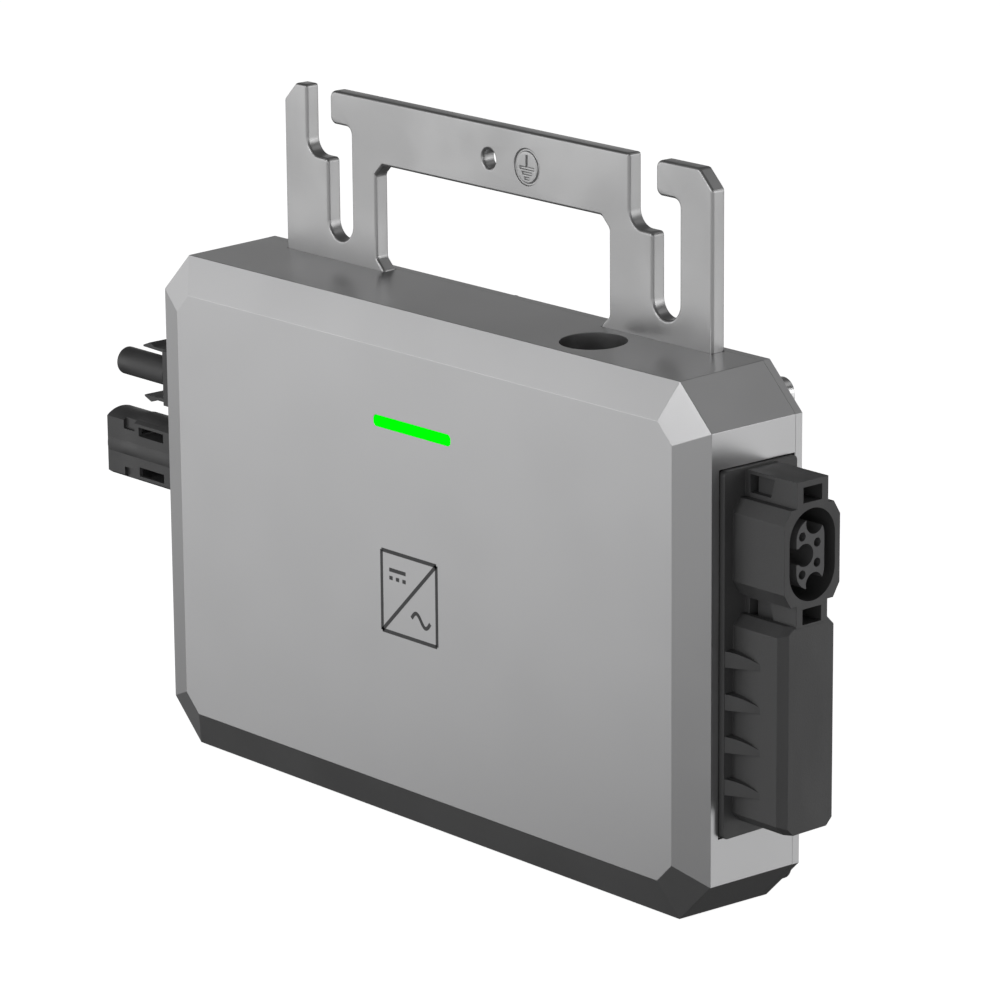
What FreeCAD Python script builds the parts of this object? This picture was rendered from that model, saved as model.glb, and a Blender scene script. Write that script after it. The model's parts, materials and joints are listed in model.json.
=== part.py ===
import FreeCAD, Part
import Sketcher
import math
import os

# Micro inverter for one solar panel: a flat die-cast casing hung from a slotted plate,
# with two direct-current connectors on the left and the mains connector on the right.
# Millimetres, +Z up, front face towards -Y, mains side towards +X.
# The origin is the middle of the casing's flat bottom face.

SIZES = {
    # casing
    "casing_width": 187.8,
    "casing_height": 121.3,
    "casing_draft": 0.6,
    "corner_cut": 10.0,
    "bevel_inset": 8.7,
    "bevel_depth": 3.3,
    "front_y": -16.35,
    "seam_y": 11.1,
    "rear_y": 13.05,
    "cavity_half": 89.6,
    "cavity_floor_y": -12.6,
    "cavity_bottom": 3.3,
    "cavity_top": 104.2,
    "cavity_cut": 14.0,
    "boss_inner": 4.0,
    "boss_outer": 6.0,
    "boss_rise": 5.3,
    "pocket_low": 107.9,
    "pocket_high": 117.6,
    "pocket_front_wall": 4.0,
    "plate_boss_half": 6.5,
    # cover screws and seal
    "screw_margin": 4.1,
    "corner_screw_x": 86.0,
    "corner_screw_inset": 7.1,
    "bottom_screw_x": 45.0,
    "plate_screw_x": 62.0,
    "screw_radius": 1.95,
    "screw_hole_radius": 2.0,
    "screw_clear_radius": 2.2,
    "screw_tip_y": 1.5,
    "screw_head_radius": 3.5,
    "screw_head_height": 2.8,
    "spotface_radius": 3.7,
    "spotface_depth": 0.55,
    "hex_across": 2.5,
    "hex_depth": 1.5,
    "seal_inner": 0.7,
    "seal_outer": 1.9,
    "seal_depth": 1.1,
    # hanging plate
    "plate_half": 72.2,
    "plate_thickness": 3.9,
    "plate_gap": 0.1,
    "plate_rise": 39.86,
    "plate_foot": 107.9,
    "plate_corner": 4.3,
    "tongue_thickness": 2.7,
    "tongue_gap": 0.1,
    "window_half": 39.45,
    "window_rise": 24.7,
    "window_cut": 2.55,
    "slot_width": 8.4,
    "slot_pitch": 110.0,
    "slot_x": -52.3,
    "entry_shift": -7.4,
    "entry_floor": 23.5,
    "slot_top": 32.0,
    "slot_bottom": 4.8,
    "hook_round": 1.8,
    "step_round": 1.0,
    "entry_round": 4.0,
    "earth_radius": 2.15,
    "earth_rise": 31.85,
    "mark_x": 12.8,
    "mark_depth": 0.35,
    "mark_line": 0.6,
    "mark_stem": 2.6,
    "mark_bar_half": 2.4,
    "mark_pitch": 1.15,
    # light bar
    "light_half": 13.2,
    "light_z": 94.45,
    "light_height": 2.65,
    "light_round": 1.0,
    "light_gap": 0.05,
    "light_proud": 0.05,
    "light_seal_thickness": 0.6,
    "light_flange": 1.2,
    "light_margin": 1.8,
    "light_back_y": 1.9,
    # breather vent in the top face
    "vent_x": 45.2,
    "vent_y": -2.55,
    "port_radius": 7.55,
    "port_floor": 109.8,
    "port_wall": 4.0,
    "vent_bore": 4.0,
    "vent_stem": 3.9,
    "vent_flange": 6.3,
    "vent_flange_height": 1.7,
    "vent_way": 2.4,
    "vent_cap_radius": 6.0,
    "vent_cap_height": 2.6,
    "vent_ring_radius": 5.2,
    "vent_ring_section": 0.75,
    "membrane_radius": 3.4,
    "membrane_thickness": 0.3,
    # direct-current connectors on the left
    "dc_seat_x": -92.7,
    "plug_z": 85.25,
    "socket_z": 64.8,
    "dc_flange_radius": 8.6,
    "dc_flange_thickness": 2.0,
    "dc_neck_radius": 5.6,
    "dc_hole_radius": 5.75,
    "dc_neck_end": -84.0,
    "dc_seal_inner": 6.3,
    "dc_seal_outer": 8.0,
    "dc_seal_thickness": 1.0,
    "nut_across": 16.0,
    "nut_thickness": 4.0,
    "block_end": -105.3,
    "block_half_y": 5.2,
    "block_half_z": 6.75,
    "barrel_end": -127.0,
    "barrel_radius": 3.42,
    "barrel_tip": 1.3,
    "barrel_root_radius": 4.4,
    "barrel_root_end": -107.2,
    "contact_radius": 2.0,
    "contact_bore": 1.3,
    "contact_gap": 0.05,
    "contact_start": -125.2,
    "contact_tail": -76.5,
    "tail_radius": 0.9,
    "foot_radius": 0.8,
    "plug_ring_radius": 4.0,
    "plug_ring_section": 0.7,
    "latch_end": -114.9,
    "latch_half_y": 3.5,
    "latch_inner": 5.6,
    "latch_outer": 6.6,
    "latch_root": -98.8,
    "latch_crest": -112.3,
    "latch_heel": -110.6,
    "barb_height": 0.8,
    "latch_nose_outer": 6.4,
    "latch_nose_inner": 6.0,
    "latch_pin_radius": 0.5,
    "latch_pin_half": 4.3,
    "latch_slot_half": 3.8,
    "latch_slot_floor": 4.5,
    "latch_slot_end": -97.8,
    "latch_play": 0.1,
    "collar_end": -128.7,
    "collar_half_y": 4.7,
    "dome_radius": 7.35,
    "dome_centre": 1.23,
    "hood_start": -117.8,
    "hood_radius": 5.8,
    "hood_centre": 3.13,
    "side_slot_start": -103.4,
    "side_slot_end": -100.2,
    "bulge_radius": 5.0,
    "bulge_end": -128.4,
    "collar_bore": 3.6,
    "collar_bore_end": -101.0,
    "channel_half": 3.7,
    "channel_low": 4.3,
    "channel_high": 6.9,
    "channel_end": -104.5,
    "latch_window_start": -116.2,
    "latch_window_end": -106.5,
    "latch_window_low": 3.9,
    "latch_window_high": 6.15,
    "notch_start": -122.1,
    "notch_end": -117.8,
    "notch_low": 4.8,
    "notch_y": 3.85,
    "pin_radius": 1.5,
    "pin_start": -121.5,
    # mains connector on the right
    "ac_seat_x": 92.6,
    "ac_gasket_thickness": 0.5,
    "ac_flange_x": 94.85,
    "ac_flange_half": 10.7,
    "ac_flange_low": 20.65,
    "ac_flange_high": 102.4,
    "ac_flange_round": 1.2,
    "ac_seat_gap": 0.15,
    "ac_socket_x": 110.3,
    "ac_socket_z": 85.6,
    "ac_socket_half_y": 8.2,
    "ac_socket_half_z": 10.6,
    "ac_socket_cut_y": 1.9,
    "ac_socket_cut_z": 3.1,
    "mouth_radius": 6.7,
    "mouth_half_z": 10.1,
    "mouth_floor_x": 98.0,
    "insert_face_x": 109.7,
    "insert_radius": 4.1,
    "insert_half_z": 7.65,
    "insert_gap": 0.05,
    "insert_base_radius": 6.0,
    "insert_base_half_z": 9.0,
    "power_radius": 2.5,
    "power_middle_y": -1.65,
    "power_end_y": 1.2,
    "power_pitch": 6.7,
    "power_mouth": 3.5,
    "signal_radius": 1.0,
    "signal_left_y": -2.4,
    "signal_left_z": 4.15,
    "signal_right_y": 2.0,
    "signal_right_z": 2.2,
    "well_floor_x": 99.0,
    "power_pin_radius": 1.2,
    "power_pin_end": 101.5,
    "signal_pin_radius": 0.45,
    "signal_pin_end": 104.5,
    "pin_tail_x": 77.0,
    "latch_box_half": 4.6,
    "latch_box_height": 5.8,
    "latch_box_sink": 0.5,
    "latch_mouth_half": 2.75,
    "latch_mouth_height": 3.4,
    "latch_mouth_rise": 1.0,
    "side_opening_start": 96.2,
    "side_opening_end": 102.4,
    "side_opening_slant": 1.2,
    "side_opening_height": 4.0,
    "side_opening_depth": 1.5,
    "side_slot_width": 1.0,
    "latch_channel_floor": 104.0,
    "long_box_x": 109.9,
    "long_box_half": 8.35,
    "long_box_y": 0.3,
    "long_box_low": 24.1,
    "long_box_high": 70.55,
    "long_box_bevel": 1.75,
    "long_box_cut": 2.25,
    "long_box_face_cut": 1.65,
    "chamber_half": 5.4,
    "chamber_x": 107.4,
    "chamber_low": 32.0,
    "chamber_high": 63.0,
    "gusset_half": 10.5,
    "gusset_x": 103.1,
    "gusset_low": 59.4,
    "gusset_tall": 3.6,
    "gusset_short": 1.9,
    "gusset_pitch": 9.52,
    "gusset_lift": 0.5,
    "ac_screw_y": 4.6,
    "ac_screw_low": 28.0,
    "ac_screw_high": 66.8,
    "ac_screw_radius": 1.45,
    "ac_screw_hole": 1.6,
    "ac_screw_head": 2.75,
    "ac_screw_head_height": 2.4,
    "ac_screw_tip": 100.0,
    # electronics
    "board_half": 80.0,
    "board_low": 9.0,
    "board_high": 101.0,
    "board_y": 3.4,
    "board_thickness": 1.6,
    "board_corner": 12.0,
    "post_radius": 3.2,
    "post_x": 70.0,
    "post_low": 17.0,
    "post_high": 97.0,
    "post_screw_radius": 1.45,
    "post_hole_radius": 1.5,
    "post_screw_tip": -4.0,
    "post_head_radius": 2.75,
    "post_head_height": 2.0,
    "transformer_x": 2.0,
    "transformer_z": 60.0,
    "transformer_wide": 42.0,
    "transformer_deep": 15.4,
    "transformer_tall": 30.0,
    "ferrite_wall": 3.0,
    "coil_radius": 16.6,
    "coil_bore": 6.9,
    "coil_play": 0.4,
    "choke_x": 38.0,
    "choke_z": 62.0,
    "choke_radius": 11.0,
    "choke_bore": 5.6,
    "choke_height": 9.0,
    "choke_wire": 1.0,
    "choke_turns": 14,
    "transistor_x": -58.0,
    "transistor_z": 20.0,
    "transistor_pitch": 13.0,
    "transistor_wide": 10.0,
    "transistor_tall": 15.0,
    "transistor_thick": 4.4,
    "leg_pitch": 2.54,
    "leg_thickness": 0.7,
    "leg_reach": 3.0,
    "pad_thickness": 0.5,
    "pad_margin": 0.5,
    "can_x": -72.0,
    "can_z": 51.5,
    "can_radius": 6.25,
    "can_length": 25.0,
    "film_x": -31.0,
    "film_z": 44.0,
    "film_wide": 18.0,
    "film_deep": 12.0,
    "film_tall": 9.0,
    "relay_x": 62.0,
    "relay_z": 47.0,
    "relay_wide": 18.0,
    "relay_deep": 14.6,
    "relay_tall": 11.0,
    "varistor_z": 68.5,
    "varistor_radius": 5.0,
    "varistor_thick": 5.0,
    "fuse_x": 66.0,
    "fuse_z": 76.0,
    "fuse_length": 16.0,
    "fuse_radius": 2.6,
    "lamp_pitch": 8.0,
    "lamp_wide": 3.0,
    "lamp_tall": 2.4,
    "chip_wide": 16.0,
    "chip_thick": 1.5,
    "radio_board_thickness": 1.0,
    "radio_module_thickness": 2.0,
    "radio_module_length": 15.0,
}


class Size:
    """A number that keeps the sheet formula it was worked out from."""

    def __init__(self, number, formula):
        self.number = float(number)
        self.formula = formula

    def __add__(self, other):
        other = as_size(other)
        return Size(self.number + other.number, f"({self.formula} + {other.formula})")

    def __sub__(self, other):
        other = as_size(other)
        return Size(self.number - other.number, f"({self.formula} - {other.formula})")

    def __mul__(self, other):
        other = as_size(other)
        return Size(self.number * other.number, f"({self.formula} * {other.formula})")

    def __truediv__(self, other):
        other = as_size(other)
        return Size(self.number / other.number, f"({self.formula} / {other.formula})")

    def __radd__(self, other):
        return as_size(other) + self

    def __rsub__(self, other):
        return as_size(other) - self

    def __rmul__(self, other):
        return as_size(other) * self

    def __neg__(self):
        return as_size(0) - self


def as_size(value):
    if isinstance(value, Size):
        return value
    return Size(value, f"{float(value):.6f}")


class Sheet:
    """The spreadsheet of driving sizes: sheet.casing_width reads the cell of that alias."""

    def __init__(self, document, sizes):
        self.cells = document.addObject("Spreadsheet::Sheet", "dim")
        for row, (alias, number) in enumerate(sizes.items(), start=1):
            self.cells.set(f"A{row}", alias.replace("_", " "))
            self.cells.set(f"B{row}", str(number))
            self.cells.setAlias(f"B{row}", alias)
        self.sizes = sizes

    def __getattr__(self, alias):
        return Size(self.sizes[alias], f"dim.{alias}")


doc = FreeCAD.newDocument("micro_inverter")
dim = Sheet(doc, SIZES)
doc.recompute()

nodes = []


def node(feature, name):
    """Marks a finished sub-part: its label is its node and file name."""
    feature.Label = name
    nodes.append(feature)
    return feature


def bind(feature, prop, value):
    feature.setExpression(prop, as_size(value).formula)


def place(feature, x, y, z, rotation=FreeCAD.Rotation()):
    corner = [as_size(value) for value in (x, y, z)]
    feature.Placement = FreeCAD.Placement(FreeCAD.Vector(*[value.number for value in corner]), rotation)
    for axis, value in zip("xyz", corner):
        bind(feature, f"Placement.Base.{axis}", value)


# ---------------------------------------------------------------- Part primitives

ALONG = {
    "x": FreeCAD.Rotation(FreeCAD.Vector(0, 1, 0), 90),
    "y": FreeCAD.Rotation(FreeCAD.Vector(1, 0, 0), -90),
    "z": FreeCAD.Rotation(),
}


def box(x_range, y_range, z_range):
    """A box between two levels on each axis."""
    feature = doc.addObject("Part::Box", "box")
    for prop, (low, high) in zip(("Length", "Width", "Height"), (x_range, y_range, z_range)):
        bind(feature, prop, as_size(high) - low)
    place(feature, x_range[0], y_range[0], z_range[0])
    return feature


def rod(axis, start, end, centre, radius):
    """A cylinder along an axis from start to end; centre holds the other two coordinates."""
    feature = doc.addObject("Part::Cylinder", "rod")
    bind(feature, "Radius", radius)
    bind(feature, "Height", as_size(end) - start)
    base = list(centre)
    base.insert("xyz".index(axis), start)
    place(feature, *base, ALONG[axis])
    return feature


def cone(axis, start, end, centre, start_radius, end_radius):
    feature = doc.addObject("Part::Cone", "cone")
    bind(feature, "Radius1", start_radius)
    bind(feature, "Radius2", end_radius)
    bind(feature, "Height", as_size(end) - start)
    base = list(centre)
    base.insert("xyz".index(axis), start)
    place(feature, *base, ALONG[axis])
    return feature


def ring(axis, level, centre, radius, section):
    feature = doc.addObject("Part::Torus", "ring")
    bind(feature, "Radius1", radius)
    bind(feature, "Radius2", section)
    base = list(centre)
    base.insert("xyz".index(axis), level)
    place(feature, *base, ALONG[axis])
    return feature


def hexagon(axis, start, end, centre, across):
    feature = doc.addObject("Part::Prism", "hexagon")
    feature.Polygon = 6
    bind(feature, "Circumradius", as_size(across) / math.sqrt(3.0))
    bind(feature, "Height", as_size(end) - start)
    base = list(centre)
    base.insert("xyz".index(axis), start)
    place(feature, *base, ALONG[axis])
    return feature


def fuse(*parts):
    if len(parts) == 1:
        return parts[0]
    feature = doc.addObject("Part::MultiFuse", "joined")
    feature.Shapes = list(parts)
    return feature


def cut(base, *tools):
    feature = doc.addObject("Part::Cut", "cut")
    feature.Base = base
    feature.Tool = fuse(*tools)
    return feature


def group(parts):
    """Separate solids that share one node."""
    feature = doc.addObject("Part::Compound", "pieces")
    feature.Links = list(parts)
    return feature


# ---------------------------------------------------------------- PartDesign bodies

# For each plane: the axes of its sketches are its first and second letter, and its normal
# points along the third axis with this sign.
NORMAL = {"XY": 1, "XZ": -1, "YZ": 1}


def new_body(name):
    return doc.addObject("PartDesign::Body", name)


def new_sketch(body, plane, level):
    sketch = body.newObject("Sketcher::SketchObject", "outline")
    support = [item for item in body.Origin.OriginFeatures if item.Role == f"{plane}_Plane"]
    sketch.AttachmentSupport = (support[0], [""])
    sketch.MapMode = "FlatFace"
    bind(sketch, "AttachmentOffset.Base.z", as_size(level) * NORMAL[plane])
    return sketch


def hold(sketch, kind, item, point, value):
    """A distance of a point from the sketch's origin, driven by the sheet."""
    value = as_size(value)
    index = sketch.addConstraint(Sketcher.Constraint(kind, -1, 1, item, point, value.number))
    bind(sketch, f"Constraints[{index}]", value)


def draw_polygon(sketch, corners):
    corners = [(as_size(u), as_size(v)) for u, v in corners]
    spots = [FreeCAD.Vector(u.number, v.number, 0) for u, v in corners]
    first = sketch.GeometryCount
    count = len(spots)
    for index in range(count):
        sketch.addGeometry(Part.LineSegment(spots[index], spots[(index + 1) % count]))
    for index in range(count):
        following = first + (index + 1) % count
        sketch.addConstraint(Sketcher.Constraint("Coincident", first + index, 2, following, 1))
    for index, (u, v) in enumerate(corners):
        hold(sketch, "DistanceX", first + index, 1, u)
        hold(sketch, "DistanceY", first + index, 1, v)


def draw_circle(sketch, u, v, radius):
    u, v, radius = as_size(u), as_size(v), as_size(radius)
    centre = FreeCAD.Vector(u.number, v.number, 0)
    circle = sketch.addGeometry(Part.Circle(centre, FreeCAD.Vector(0, 0, 1), radius.number))
    hold(sketch, "DistanceX", circle, 3, u)
    hold(sketch, "DistanceY", circle, 3, v)
    index = sketch.addConstraint(Sketcher.Constraint("Radius", circle, radius.number))
    bind(sketch, f"Constraints[{index}]", radius)


def rectangle(u_range, v_range):
    (left, right), (low, high) = u_range, v_range
    return [(left, low), (right, low), (right, high), (left, high)]


def octagon(centre, half_u, half_v, cut_u, cut_v):
    """A rectangle with its four corners cut off."""
    u, v = centre
    return [
        (u - half_u + cut_u, v - half_v),
        (u + half_u - cut_u, v - half_v),
        (u + half_u, v - half_v + cut_v),
        (u + half_u, v + half_v - cut_v),
        (u + half_u - cut_u, v + half_v),
        (u - half_u + cut_u, v + half_v),
        (u - half_u, v + half_v - cut_v),
        (u - half_u, v - half_v + cut_v),
    ]


def check_change(body, before, grows, what):
    doc.recompute()
    change = body.Shape.Volume - before
    if (change > 0) != grows or abs(change) < 1e-6:
        raise RuntimeError(f"{body.Label}: {what} changed the volume by {change:.4f}")


def volume_of(body):
    return 0.0 if body.Shape.isNull() else body.Shape.Volume


def add_pad(body, plane, low, high, *outlines):
    """Material between two levels. Each outline is a list of corners or a circle (u, v, radius)."""
    before = volume_of(body)
    level = high if NORMAL[plane] < 0 else low
    sketch = outline_sketch(body, plane, level, outlines)
    pad = body.newObject("PartDesign::Pad", "pad")
    pad.Profile = sketch
    bind(pad, "Length", as_size(high) - low)
    check_change(body, before, True, "pad")


def add_pocket(body, plane, low, high, *outlines):
    """A hollow between two levels."""
    before = volume_of(body)
    level = low if NORMAL[plane] < 0 else high
    sketch = outline_sketch(body, plane, level, outlines)
    pocket = body.newObject("PartDesign::Pocket", "pocket")
    pocket.Profile = sketch
    bind(pocket, "Length", as_size(high) - low)
    check_change(body, before, False, "pocket")


def add_loft(body, plane, low, high, low_outline, high_outline):
    """Straight-sided material from one outline to another."""
    before = volume_of(body)
    loft = body.newObject("PartDesign::AdditiveLoft", "taper")
    loft.Profile = outline_sketch(body, plane, low, [low_outline])
    loft.Sections = [outline_sketch(body, plane, high, [high_outline])]
    loft.Ruled = True
    check_change(body, before, True, "loft")


def draft_sides(body, slope):
    """Leans the flat sides of the last pad inwards, away from the plane of its sketch."""
    pad = body.Tip
    faces = pad.Shape.Faces
    sides = [f"Face{index}" for index, face in enumerate(faces, start=1) if abs(face.normalAt(0, 0).y) < 0.01]
    draft = body.newObject("PartDesign::Draft", "draft")
    draft.Base = (pad, sides)
    draft.NeutralPlane = (pad.Profile[0], [""])
    doc.recompute()
    bind(draft, "Angle", slope)
    doc.recompute()
    if not draft.isValid() or draft.Shape.Volume >= pad.Shape.Volume:
        raise RuntimeError(f"{body.Label}: the draft did not lean the sides in")


def outline_sketch(body, plane, level, outlines):
    sketch = new_sketch(body, plane, level)
    for outline in outlines:
        if isinstance(outline, tuple):
            draw_circle(sketch, *outline)
        else:
            draw_polygon(sketch, outline)
    return sketch


def round_corners(body, plane, radius, spots):
    """Rounds the edges that stand on the plane at the given places."""
    first, second = ("XYZ".index(letter) for letter in plane)
    doc.recompute()
    names = []
    for index, edge in enumerate(body.Shape.Edges, start=1):
        ends = [vertex.Point for vertex in edge.Vertexes]
        for u, v in spots:
            far = [abs(end[first] - as_size(u).number) + abs(end[second] - as_size(v).number) for end in ends]
            if len(ends) == 2 and max(far) < 0.01:
                names.append(f"Edge{index}")
    if len(names) < len(spots):
        raise RuntimeError(f"{body.Label}: found {len(names)} edges for {len(spots)} rounded corners")
    base = body.Tip
    fillet = body.newObject("PartDesign::Fillet", "rounding")
    fillet.Base = (base, names)
    bind(fillet, "Radius", radius)
    doc.recompute()


# ---------------------------------------------------------------- shared places

middle_z = (dim.casing_height - dim.casing_draft) / 2
bevel_y = dim.front_y + dim.bevel_depth
casing_top = dim.casing_height - dim.casing_draft / 2
seat_y = dim.rear_y - dim.spotface_depth
plate_y = dim.seam_y - dim.plate_thickness
tongue_half = dim.window_half - dim.window_cut
pocket_start_y = dim.cavity_floor_y + dim.pocket_front_wall
corner_low = dim.corner_screw_inset
corner_high = dim.casing_height - dim.casing_draft - dim.corner_screw_inset
top_screw_z = casing_top - dim.screw_margin

corner_screws = [(side * dim.corner_screw_x, z) for side in (-1, 1) for z in (corner_low, corner_high)]
bottom_screws = [(side * dim.bottom_screw_x, dim.screw_margin) for side in (-1, 1)]
plate_screws = [(side * dim.plate_screw_x, top_screw_z) for side in (-1, 0, 1)]
cover_screw_places = corner_screws + bottom_screws
board_posts = [(side * dim.post_x, z) for side in (-1, 1) for z in (dim.post_low, dim.post_high)]


def casing_outline(y, inset=0):
    """The casing's eight-sided outline at a depth. It narrows evenly towards the front."""
    inset = as_size(inset) + dim.casing_draft * (dim.rear_y - y) / (dim.rear_y - bevel_y)
    corner = dim.corner_cut - (2 - math.sqrt(2.0)) * inset
    half_x = dim.casing_width / 2 - inset
    half_z = dim.casing_height / 2 - inset
    return octagon((as_size(0), middle_z), half_x, half_z, corner, corner)


def add_casing_slab(body, near_y, far_y):
    """A slab of the casing between two depths, whose flat sides lean in towards the front."""
    add_pad(body, "XZ", near_y, far_y, casing_outline(far_y))
    draft_sides(body, casing_slope())


def casing_slope():
    """The lean of the casing's sides, in degrees."""
    number = math.degrees(math.atan2(dim.casing_draft.number, (dim.rear_y - bevel_y).number))
    return Size(number, f"atan({dim.casing_draft.formula} / ({(dim.rear_y - bevel_y).formula})) / 1deg")


def cavity_outline(grow=0):
    """The electronics cavity, with a boss for each bottom screw standing into it."""
    slope = math.tan(math.radians(22.5))
    half = dim.cavity_half + grow
    low = dim.cavity_bottom - grow
    high = dim.cavity_top + grow
    corner = dim.cavity_cut + (2 - math.sqrt(2.0)) * as_size(grow)
    boss_top = dim.cavity_bottom + dim.boss_rise - grow
    wide = dim.boss_outer - 0.9 * as_size(grow)
    narrow = dim.boss_inner - 0.9 * as_size(grow)
    corners = [(corner - half, low)]
    for side in (-1, 1):
        x = side * dim.bottom_screw_x
        corners += [(x - wide, low), (x - narrow, boss_top), (x + narrow, boss_top), (x + wide, low)]
    corners += [(half - corner, low), (half, low + corner), (half, high)]
    corners += [(-half, high), (-half, low + corner)]
    return corners


def stadium(body, plane, low, high, centre, radius, half_length, add):
    """A pad or pocket with round ends, longer along the plane's second axis."""
    u, v = centre
    reach = as_size(half_length) - radius
    act = add_pad if add else add_pocket
    act(body, plane, low, high, rectangle((u - radius, u + radius), (v - reach, v + reach)))
    for end in (-1, 1):
        act(body, plane, low, high, (u, v + end * reach, radius))


# ---------------------------------------------------------------- casing


def build_front_casing():
    body = new_body("front_casing")
    add_casing_slab(body, bevel_y, dim.seam_y)
    face = casing_outline(bevel_y, dim.bevel_inset)
    add_loft(body, "XZ", dim.front_y, bevel_y, face, casing_outline(bevel_y))
    add_pocket(body, "XZ", dim.cavity_floor_y, dim.seam_y, cavity_outline())
    add_pocket(body, "XZ", dim.seam_y - dim.seal_depth, dim.seam_y,
               cavity_outline(dim.seal_outer), cavity_outline(dim.seal_inner))
    cut_top_pockets(body)
    over = casing_top + 1
    cut_plate_seat(body, over)
    for x, z in cover_screw_places + plate_screws:
        add_pocket(body, "XZ", dim.screw_tip_y - 0.5, dim.seam_y, (x, z, dim.screw_hole_radius))
    for x, z in board_posts:
        add_pad(body, "XZ", dim.cavity_floor_y, dim.board_y, (x, z, dim.post_radius))
        add_pocket(body, "XZ", dim.post_screw_tip - 0.5, dim.board_y, (x, z, dim.post_hole_radius))
    cut_light_slot(body)
    add_pocket(body, "XY", dim.port_floor, over, (dim.vent_x, dim.vent_y, dim.port_radius))
    bore = (dim.vent_x, dim.vent_y, dim.vent_bore)
    add_pocket(body, "XY", dim.cavity_top - 0.5, dim.port_floor + 0.1, bore)
    cut_side_openings(body)
    return node(body, "front_casing")


def cut_plate_seat(body, over):
    """The seat of the hanging plate: open at the top for both legs, closed by a tongue between them."""
    half = dim.plate_half + dim.plate_gap
    tongue = tongue_half - dim.tongue_gap
    under = casing_top - dim.tongue_thickness
    seat = [(-half, dim.plate_foot), (half, dim.plate_foot), (half, over), (tongue, over), (tongue, under),
            (-tongue, under), (-tongue, over), (-half, over)]
    add_pocket(body, "XZ", plate_y, dim.seam_y, seat)


def cut_top_pockets(body):
    """Dry pockets that lighten the thick top edge between the screw bosses."""
    boss = dim.plate_boss_half
    inner = dim.plate_screw_x - boss
    outer = dim.plate_screw_x + boss
    vent_side = dim.vent_x - dim.port_radius - dim.port_wall
    spans = [(-outer - boss, -outer), (-inner, -boss), (boss, vent_side), (outer, outer + boss)]
    for span in spans:
        add_pocket(body, "XZ", pocket_start_y, dim.seam_y, rectangle(span, (dim.pocket_low, dim.pocket_high)))


def cut_light_slot(body):
    half = dim.light_half
    low = dim.light_z - dim.light_height / 2
    high = dim.light_z + dim.light_height / 2
    add_pocket(body, "XZ", dim.front_y - 1, dim.cavity_floor_y + 1, rectangle((-half, half), (low, high)))
    round_corners(body, "XZ", dim.light_round, [(-half, low), (half, low), (half, high), (-half, high)])


def cut_side_openings(body):
    """Flat seats and openings for the connectors in the sloping side walls."""
    outside = dim.casing_width / 2 + 1
    seat = dim.ac_flange_half + dim.ac_seat_gap
    seat_z = (dim.ac_flange_low - dim.ac_seat_gap, dim.ac_flange_high + dim.ac_seat_gap)
    add_pocket(body, "YZ", dim.ac_seat_x, outside, rectangle((-seat, seat), seat_z))
    inside = dim.cavity_half - 1
    add_pocket(body, "YZ", inside, dim.ac_seat_x + 0.1, *ac_wall_openings(dim.ac_screw_hole))
    reach = dim.dc_flange_radius + 0.4
    seat_z = (dim.socket_z - reach, dim.plug_z + reach)
    add_pocket(body, "YZ", -outside, dim.dc_seat_x, rectangle((-reach, reach), seat_z))
    holes = [(as_size(0), z, dim.dc_hole_radius) for z in (dim.plug_z, dim.socket_z)]
    add_pocket(body, "YZ", dim.dc_seat_x - 0.1, -inside, *holes)


def ac_wall_openings(screw_radius):
    """Openings under the mains connector: its radio chamber, its contacts and its screws."""
    half = dim.chamber_half - 1
    chamber = rectangle((-half, half), (dim.chamber_low + 1, dim.chamber_high - 1))
    reach_y = dim.insert_base_radius + 0.4
    reach_z = dim.insert_base_half_z + 0.4
    contacts = rectangle((-reach_y, reach_y), (dim.ac_socket_z - reach_z, dim.ac_socket_z + reach_z))
    screws = [(y, z, screw_radius) for y, z in ac_screw_places()]
    return [chamber, contacts] + screws


def ac_screw_places():
    return [(side * dim.ac_screw_y, z) for side in (-1, 1) for z in (dim.ac_screw_low, dim.ac_screw_high)]


def build_rear_cover():
    body = new_body("rear_cover")
    add_casing_slab(body, dim.seam_y, dim.rear_y)
    for x, z in cover_screw_places + plate_screws:
        add_pocket(body, "XZ", dim.seam_y, dim.rear_y, (x, z, dim.screw_clear_radius))
        add_pocket(body, "XZ", seat_y, dim.rear_y, (x, z, dim.spotface_radius))
    return node(body, "rear_cover")


def build_cover_seal():
    body = new_body("cover_seal")
    add_pad(body, "XZ", dim.seam_y - dim.seal_depth, dim.seam_y,
            cavity_outline(dim.seal_outer), cavity_outline(dim.seal_inner))
    return node(body, "cover_seal")


def cover_screw(x, z):
    """A low-head M4 socket screw, seated on the cover and pointing into the casing."""
    head_end = seat_y + dim.screw_head_height
    shank = rod("y", dim.screw_tip_y, seat_y, (x, z), dim.screw_radius)
    head = rod("y", seat_y, head_end, (x, z), dim.screw_head_radius)
    key = hexagon("y", head_end - dim.hex_depth, head_end, (x, z), dim.hex_across)
    return cut(fuse(shank, head), key)


# ---------------------------------------------------------------- hanging plate


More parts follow.
